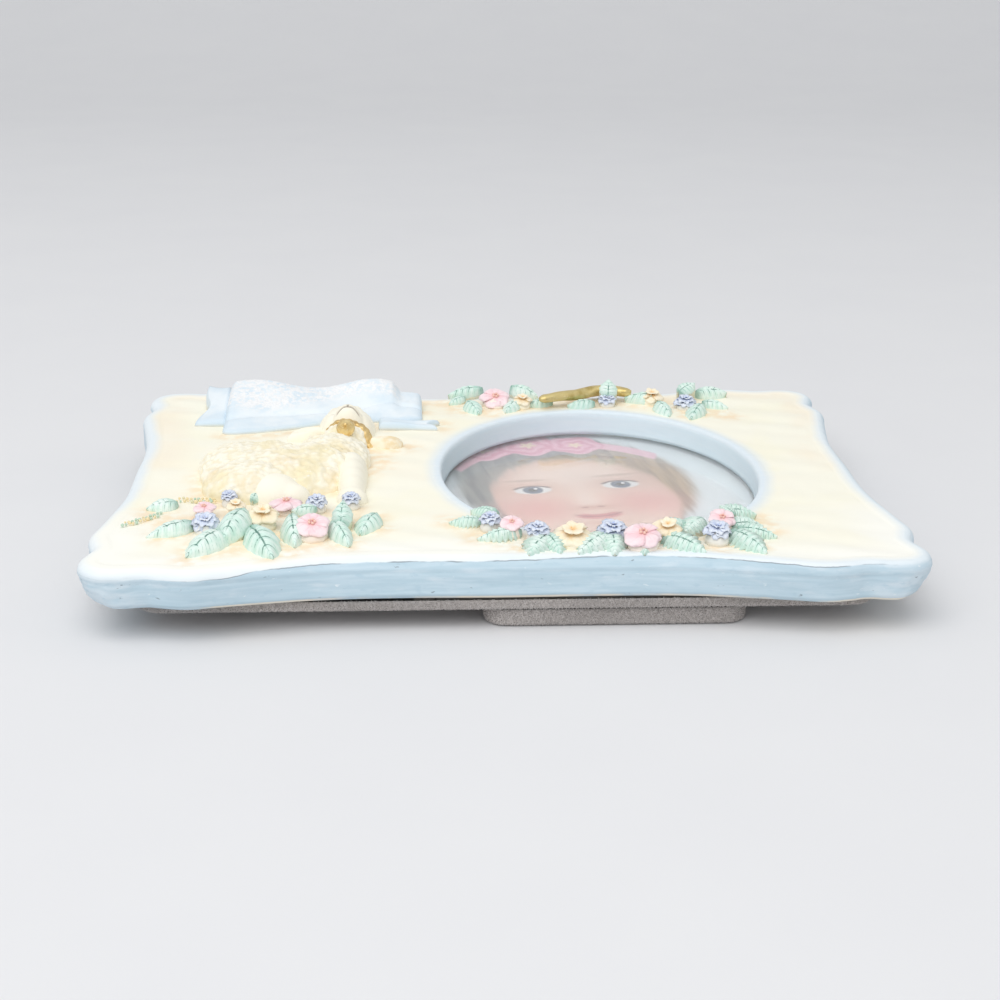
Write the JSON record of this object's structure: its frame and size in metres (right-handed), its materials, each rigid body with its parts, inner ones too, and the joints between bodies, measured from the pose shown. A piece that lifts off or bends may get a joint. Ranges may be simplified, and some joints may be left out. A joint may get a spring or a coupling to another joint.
{
  "type": "oval picture frame",
  "caption": "Landscape scalloped plaque picture frame with an oval glazed window, lamb, ribbon and flowers in relief, on a velvet easel back with a folding leg.",
  "frame": {"origin": "middle of the plaque in plan, on the surface that the folded leg lies on", "axes": "+X along the long edge to the right, +Y to the frame's top edge, +Z out of the picture's face"},
  "size_m": [0.2, 0.15, 0.0275],
  "materials": {
    "plaque": "cast resin, hand painted ivory with pale blue edges, satin",
    "glass": "clear polished picture glass",
    "print": "semi-gloss photographic paper",
    "card": "bare grey board",
    "velvet": "short grey pile",
    "steel": "nickel plated, light brushing",
    "lamb": "cast resin, cream with pale yellow dry brushing",
    "gilt": "gold paint on cast resin",
    "scroll": "cast resin, pale blue with white frosting",
    "leaf": "cast resin, mint green with dark veins",
    "pink": "cast resin, pale pink",
    "blue": "cast resin, periwinkle blue",
    "peach": "cast resin, pale peach"
  },
  "bodies": {
    "frame": {"backing_board": "card", "backing_velvet": "velvet", "banner_scroll": "scroll", "banner_tail_left": "scroll", "banner_tail_right": "scroll", "board_rivet_left": "steel", "board_rivet_right": "steel", "collar_bell": "gilt", "collar_ribbon": "gilt", "front_plaque": "plaque", "gilt_ribbon": "gilt", "hinge_fixed_leaf": "steel", "hinge_pin": "steel", "lamb_body": "lamb", "lamb_ear_left": "lamb", "lamb_ear_right": "lamb", "lamb_fore_leg": "lamb", "lamb_head": "lamb", "lamb_hind_leg": "lamb", "lower_blue_flower_1": "blue", "lower_blue_flower_3": "blue", "lower_blue_flower_5": "blue", "lower_blue_flower_8": "blue", "lower_leaf_spray": "leaf", "lower_peach_flower_4": "peach", "lower_peach_flower_7": "peach", "lower_pink_flower_2": "pink", "lower_pink_flower_6": "pink", "lower_pink_flower_9": "pink", "meadow_blue_flower_1": "blue", "meadow_blue_flower_3": "blue", "meadow_blue_flower_7": "blue", "meadow_blue_flower_8": "blue", "meadow_leaf_spray": "leaf", "meadow_peach_flower_4": "peach", "meadow_peach_flower_6": "peach", "meadow_pink_flower_2": "pink", "meadow_pink_flower_5": "pink", "meadow_pink_flower_9": "pink", "spacer_bottom": "card", "spacer_left": "card", "spacer_right": "card", "upper_blue_flower_3": "blue", "upper_blue_flower_5": "blue", "upper_leaf_spray": "leaf", "upper_peach_flower_2": "peach", "upper_peach_flower_4": "peach", "upper_pink_flower_1": "pink", "window_glass": "glass"},
    "easel_leg": {"easel_leg_board": "card", "easel_leg_velvet": "velvet", "hinge_moving_leaf": "steel", "leg_rivet_left": "steel", "leg_rivet_right": "steel"},
    "photo_insert": {"photo_print": "print", "filler_card": "card"}
  },
  "joints": [
    {"name": "easel_hinge", "type": "hinge", "parent": "frame", "child": "easel_leg", "pos_m": [0.0255, 0.032, 0.0027], "axis": [1, 0, 0], "range_deg": [0, 35]},
    {"name": "photo_slide", "type": "slide", "parent": "frame", "child": "photo_insert", "axis": [0, 1, 0], "range_m": [0, 0.135]}
  ]
}
